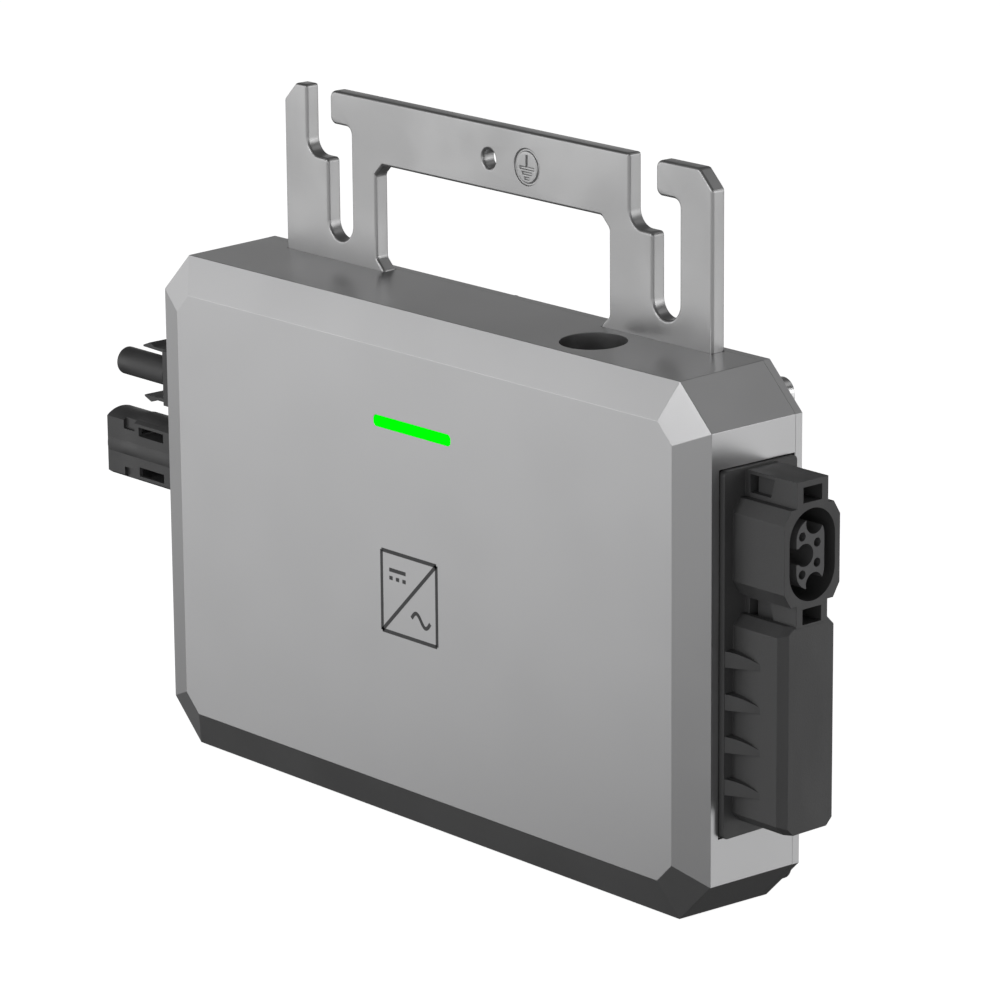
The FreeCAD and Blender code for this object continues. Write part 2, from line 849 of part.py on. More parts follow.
def build_mounting_plate():
    body = new_body("mounting_plate")
    top = casing_top + dim.plate_rise
    half = dim.plate_half
    corner = dim.plate_corner
    outline = [(-half, dim.plate_foot), (half, dim.plate_foot), (half, top - corner), (half - corner, top),
               (corner - half, top), (-half, top - corner)]
    add_pad(body, "XZ", plate_y, dim.seam_y, outline)
    window = octagon((as_size(0), casing_top + dim.window_rise / 2), dim.window_half, dim.window_rise / 2,
                     dim.window_cut, dim.window_cut)
    add_pocket(body, "XZ", plate_y, dim.seam_y, window)
    under = casing_top - dim.tongue_thickness - dim.tongue_gap
    add_pocket(body, "XZ", plate_y, dim.seam_y, rectangle((-tongue_half, tongue_half), (under, casing_top)))
    add_pocket(body, "XZ", plate_y, dim.seam_y, (as_size(0), casing_top + dim.earth_rise, dim.earth_radius))
    for x, z in plate_screws:
        add_pocket(body, "XZ", plate_y, dim.seam_y, (x, z, dim.screw_clear_radius))
    for shift in (0, 1):
        cut_hanging_slot(body, dim.slot_x + shift * dim.slot_pitch, top)
    stamp_earth_mark(body)
    return node(body, "mounting_plate")


def cut_hanging_slot(body, x, top):
    """A stepped slot: a bolt comes in at the top, moves over and drops to the round end."""
    half = dim.slot_width / 2
    floor = casing_top + dim.entry_floor
    hook = casing_top + dim.slot_top
    seat = casing_top + dim.slot_bottom + half
    entry = x + dim.entry_shift
    steps = [(x - half, seat), (x + half, seat), (x + half, hook), (entry + half, hook), (entry + half, top),
             (entry - half, top), (entry - half, floor), (x - half, floor)]
    add_pocket(body, "XZ", plate_y, dim.seam_y, steps)
    add_pocket(body, "XZ", plate_y, dim.seam_y, (x, seat, half))
    round_corners(body, "XZ", dim.hook_round, [(x + half, hook), (entry + half, hook), (entry + half, top)])
    round_corners(body, "XZ", dim.step_round, [(x - half, floor)])
    round_corners(body, "XZ", dim.entry_round, [(entry - half, floor)])


def stamp_earth_mark(body):
    """The protective-earth sign: two rings round a stem and three bars of falling length."""
    x = dim.mark_x
    z = casing_top + dim.earth_rise
    line = dim.mark_line
    rings = [(x, z, dim.slot_width / 2), (x, z, dim.slot_width / 2 - line)]
    add_pocket(body, "XZ", plate_y, plate_y + dim.mark_depth, *rings)
    stem = rectangle((x - line / 2, x + line / 2), (z, z + dim.mark_stem))
    add_pocket(body, "XZ", plate_y, plate_y + dim.mark_depth, stem)
    for step in range(3):
        half = dim.mark_bar_half * (1 - as_size(step) / 3)
        low = z - line - dim.mark_pitch * step
        bar = rectangle((x - half, x + half), (low, low + line))
        add_pocket(body, "XZ", plate_y, plate_y + dim.mark_depth, bar)


# ---------------------------------------------------------------- light bar


def build_light_pipe():
    """A clear bar, all but flush in the front face, that carries the light of the status lamps."""
    body = new_body("light_pipe")
    half = dim.light_half - dim.light_gap
    reach = dim.light_height / 2 - dim.light_gap
    low, high = dim.light_z - reach, dim.light_z + reach
    inner = dim.cavity_floor_y + dim.light_seal_thickness
    face = dim.front_y - dim.light_proud
    add_pad(body, "XZ", face, inner, rectangle((-half, half), (low, high)))
    round_corners(body, "XZ", dim.light_round - dim.light_gap,
                  [(-half, low), (half, low), (half, high), (-half, high)])
    margin = dim.light_margin
    add_pad(body, "XZ", inner, inner + dim.light_flange,
            rectangle((-half - margin, half + margin), (low - margin, high + margin)))
    add_pad(body, "XZ", inner + dim.light_flange, dim.light_back_y,
            rectangle((margin - half, half - margin), (low, high)))
    return node(body, "light_pipe")


def build_light_seal():
    body = new_body("light_seal")
    half = dim.light_half - dim.light_gap
    reach = dim.light_height / 2 - dim.light_gap
    margin = dim.light_margin
    gap = dim.light_gap * 2
    middle = dim.light_z
    outer = rectangle((-half - margin, half + margin), (middle - reach - margin, middle + reach + margin))
    inner = rectangle((-half - gap, half + gap), (middle - reach - gap, middle + reach + gap))
    add_pad(body, "XZ", dim.cavity_floor_y, dim.cavity_floor_y + dim.light_seal_thickness, outer, inner)
    return node(body, "light_seal")


# ---------------------------------------------------------------- breather vent

vent_centre = (dim.vent_x, dim.vent_y)
vent_flange_z = dim.port_floor + 2 * dim.vent_ring_section
vent_cap_z = vent_flange_z + dim.vent_flange_height


def build_vent():
    stem = rod("z", dim.cavity_top - 1.5, vent_flange_z, vent_centre, dim.vent_stem)
    flange = rod("z", vent_flange_z, vent_cap_z, vent_centre, dim.vent_flange)
    way = rod("z", dim.cavity_top - 2, vent_cap_z + 0.5, vent_centre, dim.vent_way)
    seat = rod("z", vent_cap_z - dim.membrane_thickness, vent_cap_z + 0.5, vent_centre, dim.membrane_radius)
    node(cut(fuse(stem, flange), fuse(way, seat)), "vent_body")
    seal_z = dim.port_floor + dim.vent_ring_section
    node(ring("z", seal_z, vent_centre, dim.vent_ring_radius, dim.vent_ring_section), "vent_seal")
    membrane = rod("z", vent_cap_z - dim.membrane_thickness, vent_cap_z, vent_centre, dim.membrane_radius)
    node(membrane, "vent_membrane")
    node(vent_cap(), "vent_cap")


def vent_cap():
    """A round lid on four feet, so that air gets out sideways under it."""
    lid = rod("z", vent_cap_z, vent_cap_z + dim.vent_cap_height, vent_centre, dim.vent_cap_radius)
    reach = dim.vent_cap_radius + 1
    slot_half = dim.vent_cap_radius / 3
    slot_z = (vent_cap_z, vent_cap_z + dim.vent_cap_height / 3)
    x, y = vent_centre
    along = box((x - reach, x + reach), (y - slot_half, y + slot_half), slot_z)
    across = box((x - slot_half, x + slot_half), (y - reach, y + reach), slot_z)
    return cut(lid, along, across)


# ---------------------------------------------------------------- direct-current connectors


ring_x = dim.block_end - dim.plug_ring_section


def dc_base(z):
    """What both connectors share: a round flange on the wall and a threaded neck through it."""
    centre = (0, z)
    flange_x = dim.dc_seat_x - dim.dc_flange_thickness
    flange = rod("x", flange_x, dim.dc_seat_x, centre, dim.dc_flange_radius)
    neck = rod("x", dim.dc_seat_x - 1, dim.dc_neck_end, centre, dim.dc_neck_radius)
    return [flange, neck]


def dc_seal(z, grow=0):
    """A flat ring in a groove of the flange."""
    centre = (0, z)
    start = dim.dc_seat_x - dim.dc_seal_thickness
    outer = rod("x", start, dim.dc_seat_x + grow, centre, dim.dc_seal_outer)
    inner = rod("x", start - grow, dim.dc_seat_x + 2 * as_size(grow), centre, dim.dc_seal_inner)
    return cut(outer, inner)


def dc_nut(z):
    start = -dim.cavity_half
    end = start + dim.nut_thickness
    nut = hexagon("x", start, end, (0, z), dim.nut_across)
    return cut(nut, rod("x", start - 1, end + 1, (0, z), dim.dc_neck_radius + dim.contact_gap))


def dc_contact(start, z, radius):
    """A turned contact whose tail bends over to the circuit board."""
    tail = rod("x", dim.dc_neck_end - 2, dim.contact_tail, (0, z), dim.tail_radius)
    barrel = rod("x", start, dim.dc_neck_end - 2, (0, z), radius)
    foot = rod("y", 0, dim.board_y, (dim.contact_tail - dim.tail_radius, z), dim.foot_radius)
    return [barrel, tail, foot]


def build_dc_plug():
    z = dim.plug_z
    centre = (0, z)
    half_y, half_z = dim.block_half_y, dim.block_half_z
    block = box((dim.block_end, dim.dc_seat_x - 1), (-half_y, half_y), (z - half_z, z + half_z))
    tip_x = dim.barrel_end + dim.barrel_tip
    barrel = rod("x", tip_x, dim.block_end + 1, centre, dim.barrel_radius)
    tip = cone("x", dim.barrel_end, tip_x, centre, dim.barrel_radius - dim.barrel_tip, dim.barrel_radius)
    root = cone("x", dim.barrel_root_end, dim.block_end, centre, dim.barrel_radius, dim.barrel_root_radius)
    bore = rod("x", dim.barrel_end - 1, dim.dc_neck_end + 1, centre, dim.contact_radius + dim.contact_gap)
    solid = fuse(block, barrel, tip, root, *dc_base(z))
    hollows = [bore, dc_seal(z, 1), ring("x", ring_x, centre, dim.plug_ring_radius, dim.plug_ring_section)]
    for side in (-1, 1):
        hollows += latch_slot(z, side)
    node(cut(solid, *hollows), "dc_plug_housing")
    node(ring("x", ring_x, centre, dim.plug_ring_radius, dim.plug_ring_section), "dc_plug_o_ring")
    hole = rod("x", dim.contact_start - 1, dim.contact_start + 12, centre, dim.contact_bore)
    node(cut(fuse(*dc_contact(dim.contact_start, z, dim.contact_radius)), hole), "dc_plug_contact")
    node(dc_seal(z), "dc_plug_panel_seal")
    node(dc_nut(z), "dc_plug_nut")
    node(build_latch(z, 1), "plug_latch_upper")
    node(build_latch(z, -1), "plug_latch_lower")


def latch_slot(z, side):
    """The slot in the plug block that holds a latch arm, and the holes for its pin."""
    half = dim.latch_slot_half
    heights = ordered(z + side * dim.latch_slot_floor, z + side * (dim.block_half_z + 1))
    slot = box((dim.block_end - 1, dim.latch_slot_end), (-half, half), heights)
    pivot_z = z + side * (dim.latch_inner + dim.latch_outer) / 2
    reach = dim.latch_pin_half + dim.latch_play
    hole = rod("y", -reach, reach, (dim.latch_root, pivot_z), dim.latch_pin_radius + dim.latch_play)
    over = dim.block_half_y + 1
    levels = ordered(z + side * dim.latch_slot_floor, z + side * dim.latch_window_high)
    window = box((dim.side_slot_start, dim.side_slot_end), (-over, over), levels)
    return [slot, hole, window]


def build_latch(z, side):
    """A spring arm with a barb near its free end; its root turns on a pin."""
    body = new_body("latch")
    inner, outer = z + side * dim.latch_inner, z + side * dim.latch_outer
    crest = z + side * (dim.latch_outer + dim.barb_height)
    nose_outer = z + side * dim.latch_nose_outer
    nose_inner = z + side * dim.latch_nose_inner
    profile = [(dim.latch_root, inner), (dim.latch_root, outer), (dim.latch_heel, outer)]
    profile += [(dim.latch_crest, crest), (dim.latch_end, nose_outer), (dim.latch_end, nose_inner)]
    half = dim.latch_half_y
    pivot_z = (inner + outer) / 2
    add_pad(body, "XZ", -half, half, profile)
    add_pad(body, "XZ", -half, half, (dim.latch_root, pivot_z, (dim.latch_outer - dim.latch_inner) / 2))
    pin = dim.latch_pin_half
    add_pad(body, "XZ", -pin, pin, (dim.latch_root, pivot_z, dim.latch_pin_radius))
    return body


def build_dc_socket():
    z = dim.socket_z
    body = new_body("dc_socket_housing")
    flange_x = dim.dc_seat_x - dim.dc_flange_thickness
    half = dim.collar_half_y
    rise = dim.dome_centre + math.sqrt(SIZES["dome_radius"] ** 2 - SIZES["collar_half_y"] ** 2)
    origin_y = as_size(0)
    add_pad(body, "YZ", dim.collar_end, flange_x + 1, rectangle((-half, half), (z - rise, z + rise)))
    for side in (-1, 1):
        add_dome(body, z, side, (dim.collar_end, flange_x), dim.dome_centre, SIZES["dome_radius"])
    add_dome(body, z, 1, (dim.hood_start, flange_x), dim.hood_centre, SIZES["hood_radius"])
    add_pad(body, "YZ", dim.bulge_end, flange_x + 1, (origin_y, z, dim.bulge_radius))
    add_pad(body, "YZ", flange_x, dim.dc_seat_x, (origin_y, z, dim.dc_flange_radius))
    add_pad(body, "YZ", dim.dc_seat_x, dim.dc_neck_end, (origin_y, z, dim.dc_neck_radius))
    add_pocket(body, "YZ", dim.collar_end, dim.collar_bore_end, (origin_y, z, dim.collar_bore))
    bore = dim.contact_radius + dim.contact_gap
    add_pocket(body, "YZ", dim.collar_bore_end, dim.dc_neck_end, (origin_y, z, bore))
    channel = dim.channel_half
    for side in (-1, 1):
        levels = ordered(z + side * dim.channel_low, z + side * dim.channel_high)
        add_pocket(body, "YZ", dim.collar_end, dim.channel_end, rectangle((-channel, channel), levels))
        cut_collar_sides(body, z, side)
    start = dim.dc_seat_x - dim.dc_seal_thickness
    groove = [(origin_y, z, radius) for radius in (dim.dc_seal_outer, dim.dc_seal_inner)]
    add_pocket(body, "YZ", start, dim.dc_seat_x, *groove)
    node(body, "dc_socket_housing")
    flange = rod("x", dim.dc_neck_end - 4, dim.dc_neck_end - 2, (0, z), dim.contact_radius)
    pin = dc_contact(dim.pin_start, z, dim.pin_radius)
    collar = rod("x", dim.collar_bore_end, dim.collar_bore_end + 2, (0, z), dim.contact_radius)
    node(fuse(flange, collar, *pin), "dc_socket_pin")
    node(dc_seal(z), "dc_socket_panel_seal")
    node(dc_nut(z), "dc_socket_nut")


def ordered(first, second):
    return (first, second) if first.number < second.number else (second, first)


def add_dome(body, z, side, span, centre, radius):
    """A rounded end of the collar's section: an arc between its flat sides."""
    steps = 12
    reach = math.asin(SIZES["collar_half_y"] / radius)
    corners = []
    for step in range(steps + 1):
        angle = reach * (1 - 2 * step / steps)
        rise = centre + radius * math.cos(angle)
        corners.append((as_size(radius * math.sin(angle)), z + side * rise))
    corners += [(-dim.collar_half_y, z), (dim.collar_half_y, z)]
    add_pad(body, "YZ", *span, corners)


def cut_collar_sides(body, z, side):
    """Windows that a mating plug's barbs snap into, and a notch in each collar edge."""
    window_z = ordered(z + side * dim.latch_window_low, z + side * dim.latch_window_high)
    window_x = (dim.latch_window_start, dim.latch_window_end)
    reach = dim.collar_half_y + 0.5
    add_pocket(body, "XZ", -reach, reach, rectangle(window_x, window_z))
    slot_x = (dim.side_slot_start, dim.side_slot_end)
    add_pocket(body, "XZ", -reach, reach, rectangle(slot_x, window_z))
    notch_z = ordered(z + side * dim.notch_low, z + side * (dim.dome_centre + dim.dome_radius))
    notch_x = (dim.notch_start, dim.notch_end)
    for near in (-1, 1):
        low, high = ordered(near * dim.notch_y, near * reach)
        add_pocket(body, "XZ", low, high, rectangle(notch_x, notch_z))


# ---------------------------------------------------------------- mains connector


def build_ac_housing():
    body = new_body("ac_housing")
    inside = dim.ac_seat_x + dim.ac_gasket_thickness
    half = dim.ac_flange_half
    low, high = dim.ac_flange_low, dim.ac_flange_high
    add_pad(body, "YZ", inside, dim.ac_flange_x, rectangle((-half, half), (low, high)))
    round_corners(body, "YZ", dim.ac_flange_round, [(-half, low), (half, low), (half, high), (-half, high)])
    add_ac_socket(body)
    add_long_box(body)
    cut_ac_mouth(body, inside)
    for side in (-1, 1):
        cut_latch_box(body, side)
    return node(body, "ac_housing")


def add_ac_socket(body):
    socket_z = dim.ac_socket_z
    section = octagon((as_size(0), socket_z), dim.ac_socket_half_y, dim.ac_socket_half_z,
                      dim.ac_socket_cut_y, dim.ac_socket_cut_z)
    add_pad(body, "YZ", dim.ac_flange_x, dim.ac_socket_x, section)
    reach = dim.ac_socket_half_z + dim.latch_box_height
    half = dim.latch_box_half
    latch_boxes = rectangle((-half, half), (dim.long_box_high - dim.latch_box_sink, socket_z + reach))
    add_pad(body, "YZ", dim.ac_flange_x, dim.ac_socket_x, latch_boxes)


def add_long_box(body):
    """The radio chamber's box, bevelled round its outer face, with ribs on both sides."""
    middle = (dim.long_box_low + dim.long_box_high) / 2
    half_z = (dim.long_box_high - dim.long_box_low) / 2
    centre = (dim.long_box_y, middle)
    bevel_x = dim.long_box_x - dim.long_box_bevel
    full = octagon(centre, dim.long_box_half, half_z, dim.long_box_cut, dim.long_box_cut)
    face = octagon(centre, dim.long_box_half - dim.long_box_bevel, half_z,
                   dim.long_box_face_cut, dim.long_box_face_cut)
    add_pad(body, "YZ", dim.ac_flange_x, bevel_x, full)
    add_loft(body, "YZ", bevel_x, dim.long_box_x, full, face)
    for index in range(4):
        low = dim.gusset_low - index * dim.gusset_pitch
        add_pad(body, "XZ", -dim.gusset_half, dim.gusset_half, gusset_outline(low))
    lowest = dim.gusset_low - 4 * dim.gusset_pitch
    for side in (-1, 1):
        wall = dim.long_box_y + side * dim.long_box_half
        edge = side * dim.gusset_half
        wedge = [(dim.ac_flange_x, edge), (dim.gusset_x, edge), (dim.gusset_x, wall)]
        add_pocket(body, "XY", lowest, dim.gusset_low + dim.gusset_pitch, wedge)


def gusset_outline(low):
    """A rib that is tall at the flange and falls away in a curve."""
    steps = 6
    length = dim.gusset_x - dim.ac_flange_x
    corners = [(dim.ac_flange_x, low), (dim.gusset_x, low + dim.gusset_lift)]
    for step in range(steps + 1):
        part = 1 - step / steps
        fall = (dim.gusset_tall - dim.gusset_short) * part ** 2
        corners.append((dim.ac_flange_x + length * part, low + dim.gusset_tall - fall))
    return corners


def cut_ac_mouth(body, inside):
    centre = (as_size(0), dim.ac_socket_z)
    stadium(body, "YZ", dim.mouth_floor_x, dim.ac_socket_x, centre, dim.mouth_radius, dim.mouth_half_z, False)
    gap = dim.insert_gap
    stadium(body, "YZ", inside, dim.mouth_floor_x, centre,
            dim.insert_base_radius + gap, dim.insert_base_half_z + gap, False)
    half = dim.chamber_half
    chamber = rectangle((-half, half), (dim.chamber_low, dim.chamber_high))
    add_pocket(body, "YZ", inside, dim.chamber_x, chamber)
    screws = [(y, z, dim.post_hole_radius) for y, z in ac_screw_places()]
    add_pocket(body, "YZ", inside, dim.ac_screw_tip + 0.5, *screws)


def cut_latch_box(body, side):
    """A channel for the mating plug's latch, open at the face, with a recess in both sides."""
    wall = dim.ac_socket_z + side * (dim.ac_socket_half_z + dim.latch_mouth_rise)
    mouth_z = ordered(wall, wall + side * dim.latch_mouth_height)
    half = dim.latch_mouth_half
    add_pocket(body, "YZ", dim.latch_channel_floor, dim.ac_socket_x, rectangle((-half, half), mouth_z))
    far = wall + side * dim.side_opening_height
    slant = dim.side_opening_end + dim.side_opening_slant
    opening = [(dim.side_opening_start, wall), (dim.side_opening_end, wall), (slant, far),
               (dim.side_opening_start, far)]
    reach = dim.latch_box_half
    depth = reach - dim.side_opening_depth
    add_pocket(body, "XZ", -reach, -depth, opening)
    add_pocket(body, "XZ", depth, reach, opening)
    slot_x = (dim.side_opening_start, dim.side_opening_start + dim.side_slot_width)
    add_pocket(body, "XZ", -reach, reach, rectangle(slot_x, ordered(wall, far)))


def build_ac_gasket():
    body = new_body("ac_gasket")
    half = dim.ac_flange_half
    low, high = dim.ac_flange_low, dim.ac_flange_high
    end = dim.ac_seat_x + dim.ac_gasket_thickness
    add_pad(body, "YZ", dim.ac_seat_x, end, rectangle((-half, half), (low, high)))
    round_corners(body, "YZ", dim.ac_flange_round, [(-half, low), (half, low), (half, high), (-half, high)])
    add_pocket(body, "YZ", dim.ac_seat_x, end, *ac_wall_openings(dim.ac_screw_hole))
    return node(body, "ac_gasket")


def power_pin_places():
    """Middle contact, then the two end contacts of the mains insert."""
    z = dim.ac_socket_z
    ends = [(dim.power_end_y, z + side * dim.power_pitch) for side in (-1, 1)]
    return [(dim.power_middle_y, z)] + ends


def signal_pin_places():
    z = dim.ac_socket_z
    places = []
    for side in (-1, 1):
        places.append((dim.signal_left_y, z + side * dim.signal_left_z))
        places.append((dim.signal_right_y, z + side * dim.signal_right_z))
    return places


def build_ac_insert():
    """The contact carrier: a tongue with wells round the contacts, and a base inside the housing."""
    body = new_body("ac_insert")
    z = dim.ac_socket_z
    centre = (as_size(0), z)
    start = dim.ac_seat_x + dim.ac_gasket_thickness
    base_end, face = dim.mouth_floor_x, dim.insert_face_x
    stadium(body, "YZ", start, base_end, centre, dim.insert_base_radius, dim.insert_base_half_z, True)
    stadium(body, "YZ", base_end, face, centre, dim.insert_radius, dim.insert_half_z, True)
    well = dim.well_floor_x
    for y, pin_z in power_pin_places():
        add_pocket(body, "YZ", well, dim.insert_face_x, (y, pin_z, dim.power_radius))
        add_pocket(body, "YZ", start, well, (y, pin_z, dim.power_pin_radius + dim.insert_gap))
    mouth = dim.power_mouth / 2
    neck = rectangle((-dim.insert_radius - 1, dim.power_middle_y), (z - mouth, z + mouth))
    add_pocket(body, "YZ", well, dim.insert_face_x, neck)
    for y, pin_z in signal_pin_places():
        add_pocket(body, "YZ", well, dim.insert_face_x, (y, pin_z, dim.signal_radius))
        add_pocket(body, "YZ", start, well, (y, pin_z, dim.signal_pin_radius + dim.insert_gap))
    return node(body, "ac_insert")


def bent_pin(y, z, radius, end):
    """A straight contact pin whose tail turns over to the circuit board."""
    straight = rod("x", dim.pin_tail_x - radius, end, (y, z), radius)
    foot = rod("y", y, dim.board_y, (dim.pin_tail_x, z), radius)
    return fuse(straight, foot)


def build_ac_contacts():
    power = [bent_pin(y, z, dim.power_pin_radius, dim.power_pin_end) for y, z in power_pin_places()]
    node(group(power), "ac_power_pins")
    signal = [bent_pin(y, z, dim.signal_pin_radius, dim.signal_pin_end) for y, z in signal_pin_places()]
    node(group(signal), "ac_signal_pins")


def ac_screw(y, z):
    head_x = dim.cavity_half - dim.ac_screw_head_height
    head = rod("x", head_x, dim.cavity_half, (y, z), dim.ac_screw_head)
    shank = rod("x", dim.cavity_half, dim.ac_screw_tip, (y, z), dim.ac_screw_radius)
    key = hexagon("x", head_x, head_x + 1.2, (y, z), dim.hex_across)
    return cut(fuse(head, shank), key)


def build_radio_board():
    """The radio board stands in the plastic chamber, where the metal casing doesn't shade it."""
    start, end = dim.ac_flange_x + 1, dim.chamber_x - 2
    half = dim.radio_board_thickness / 2
    node(box((start, end), (-half, half), (dim.chamber_low, dim.chamber_high)), "radio_board")
    middle = (dim.chamber_low + dim.chamber_high) / 2
    tall = dim.radio_module_length / 2
    outer = half + dim.radio_module_thickness
    module = box((start + 1, end - 1), (-outer, -half), (middle - tall, middle + tall))
    node(module, "radio_module")


# ---------------------------------------------------------------- electronics

board_back = dim.board_y + dim.board_thickness


def build_main_board():
    body = new_body("main_board")
    middle = (dim.board_low + dim.board_high) / 2
    half_z = (dim.board_high - dim.board_low) / 2
    outline = octagon((as_size(0), middle), dim.board_half, half_z, dim.board_corner, dim.board_corner)
    add_pad(body, "XZ", dim.board_y, board_back, outline)
    for x, z in board_posts:
        add_pocket(body, "XZ", dim.board_y, board_back, (x, z, dim.ac_screw_hole))
    return node(body, "main_board")


def board_screw(x, z):
    head_end = board_back + dim.post_head_height
    shank = rod("y", dim.post_screw_tip, board_back, (x, z), dim.post_screw_radius)
    head = rod("y", board_back, head_end, (x, z), dim.post_head_radius)
    key = hexagon("y", head_end - 1, head_end, (x, z), dim.hex_across)
    return cut(fuse(shank, head), key)


def on_board(x, z, wide, deep, tall):
    """A block that stands on the front side of the board."""
    return box((x - wide / 2, x + wide / 2), (dim.board_y - deep, dim.board_y), (z - tall / 2, z + tall / 2))


def build_transformer():
    """A ferrite core round one coil; the coil lies flat, round the middle leg."""
    x, z = dim.transformer_x, dim.transformer_z
    low = dim.board_y - dim.transformer_deep + dim.ferrite_wall
    high = dim.board_y - dim.ferrite_wall
    play = dim.coil_play
    core = on_board(x, z, dim.transformer_wide, dim.transformer_deep, dim.transformer_tall)
    space = rod("y", low, high, (x, z), dim.coil_radius + play)
    leg = rod("y", low, high, (x, z), dim.coil_bore - play)
    node(cut(core, cut(space, leg)), "transformer_core")
    coil = rod("y", low + play, high - play, (x, z), dim.coil_radius)
    node(cut(coil, rod("y", low, high, (x, z), dim.coil_bore)), "transformer_coil")


def build_output_choke():
    """A ring core by the board's front face, with a coil of separate flat turns."""
    x, z = dim.choke_x, dim.choke_z
    high = dim.board_y - 2 * dim.choke_wire
    low = high - dim.choke_height
    through = rod("y", low - 1, high + 1, (x, z), dim.choke_bore)
    node(cut(rod("y", low, high, (x, z), dim.choke_radius), through), "choke_core")
    count = round(SIZES["choke_turns"])
    turns = [choke_turn(x.number, z.number, low.number, 360.0 * index / count) for index in range(count)]
    feature = doc.addObject("Part::Feature", "coil")
    feature.Shape = Part.makeCompound(turns)
    node(feature, "choke_coil")


def choke_turn(x, z, low, angle):
    """One turn of flat wire round the ring's section, turned to its place."""
    wire, play = SIZES["choke_wire"], SIZES["coil_play"] / 4
    bore = SIZES["choke_bore"]
    loops = []
    for grow in (play, play + wire):
        long = SIZES["choke_radius"] - bore + 2 * grow
        loop = Part.makeBox(long, SIZES["choke_height"] + 2 * grow, wire)
        loop.translate(FreeCAD.Vector(bore - grow, low - grow, -wire / 2))
        loops.append(loop)
    turn = loops[1].cut(loops[0])
    turn.rotate(FreeCAD.Vector(), FreeCAD.Vector(0, 1, 0), angle)
    turn.translate(FreeCAD.Vector(x, 0, z))
    return turn


def build_power_transistors():
    """Transistors that lie against the casing wall on thermal pads, with legs to the board."""
    transistors, pads = [], []
    for index in range(6):
        x = dim.transistor_x + index * dim.transistor_pitch
        transistors.append(power_transistor(x))
        half, tall = dim.transistor_wide / 2 + dim.pad_margin, dim.transistor_tall / 2 + dim.pad_margin
        z = dim.transistor_z
        pads.append(box((x - half, x + half), (dim.cavity_floor_y, pad_y), (z - tall, z + tall)))
    node(group(transistors), "power_transistors")
    node(group(pads), "thermal_pads")


pad_y = dim.cavity_floor_y + dim.pad_thickness


def power_transistor(x):
    """A flat package with three legs that go up and then back to the board."""
    half, top = dim.transistor_wide / 2, dim.transistor_z + dim.transistor_tall / 2
    low = top - dim.transistor_tall
    leg_half = dim.leg_thickness / 2
    leg_y = pad_y + dim.transistor_thick / 2
    pieces = [box((x - half, x + half), (pad_y, pad_y + dim.transistor_thick), (low, top))]
    bend = top + dim.leg_reach
    for offset in (-1, 0, 1):
        leg_x = x + offset * dim.leg_pitch
        span = (leg_x - leg_half, leg_x + leg_half)
        pieces.append(box(span, (leg_y, leg_y + dim.leg_thickness), (top, bend)))
        pieces.append(box(span, (leg_y, dim.board_y), (bend - dim.leg_thickness, bend)))
    return fuse(*pieces)


def build_capacitors():
    radius = dim.can_radius
    cans = []
    for side in (-1, 1):
        centre = (dim.board_y - radius, dim.can_z + side * (radius + 0.25))
        cans.append(rod("x", dim.can_x, dim.can_x + dim.can_length, centre, radius))
    node(group(cans), "dc_capacitors")
    films = []
    for index in range(3):
        z = dim.film_z + index * (dim.film_tall + 2)
        films.append(on_board(dim.film_x, z, dim.film_wide, dim.film_deep, dim.film_tall))
    node(group(films), "film_capacitors")


def build_grid_side():
    """Relays, surge arresters and the fuse, between the bridge and the mains contacts."""
    relays, varistors = [], []
    for side in (-1, 1):
        z = dim.relay_z + side * (dim.relay_tall / 2 + 1.5)
        relays.append(on_board(dim.relay_x, z, dim.relay_wide, dim.relay_deep, dim.relay_tall))
        x = dim.relay_x + side * (dim.varistor_radius + 1)
        low = dim.board_y - dim.varistor_thick
        varistors.append(rod("y", low, dim.board_y, (x, dim.varistor_z), dim.varistor_radius))
    node(group(relays), "grid_relays")
    node(group(varistors), "varistors")
    centre = (dim.fuse_x, dim.board_y - dim.fuse_radius)
    node(rod("z", dim.fuse_z, dim.fuse_z + dim.fuse_length, centre, dim.fuse_radius), "mains_fuse")


def build_small_parts():
    lamp_deep = dim.board_y - dim.light_back_y
    lamps = [on_board(step * dim.lamp_pitch, dim.light_z, dim.lamp_wide, lamp_deep, dim.lamp_tall)
             for step in (-1, 0, 1)]
    node(group(lamps), "status_leds")
    half, z = dim.chip_wide / 2, dim.transformer_z
    chip = box((-half, half), (board_back, board_back + dim.chip_thick), (z - half, z + half))
    node(chip, "controller_chip")


def build_all():
    build_front_casing()
    build_rear_cover()
    build_cover_seal()
    node(group([cover_screw(x, z) for x, z in cover_screw_places]), "cover_screws")
    node(group([cover_screw(x, z) for x, z in plate_screws]), "plate_screws")
    build_mounting_plate()
    build_light_pipe()
    build_light_seal()
    build_vent()
    build_dc_plug()
    build_dc_socket()
    build_ac_housing()
    build_ac_gasket()
    build_ac_insert()
    build_ac_contacts()
    node(group([ac_screw(y, z) for y, z in ac_screw_places()]), "ac_housing_screws")
    build_radio_board()
    build_main_board()
    node(group([board_screw(x, z) for x, z in board_posts]), "board_screws")
    build_transformer()
    build_output_choke()
    build_power_transistors()
    build_capacitors()
    build_grid_side()
    build_small_parts()


def check_document():
    for item in doc.Objects:
        if "Invalid" in item.State or "Error" in item.State:
            raise RuntimeError(f"{item.Label} failed: {item.State}")
    for item in nodes:
        if item.Shape.isNull() or not item.Shape.isValid() or not item.Shape.Solids:
            raise RuntimeError(f"{item.Label} has no valid solid")


build_all()
doc.recompute()
check_document()
os.makedirs("parts", exist_ok=True)
for item in nodes:
    item.Shape.exportStep(f"parts/{item.Label}.step")
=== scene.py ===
import json
import math

import bmesh
import bpy
from mathutils import Matrix, Vector


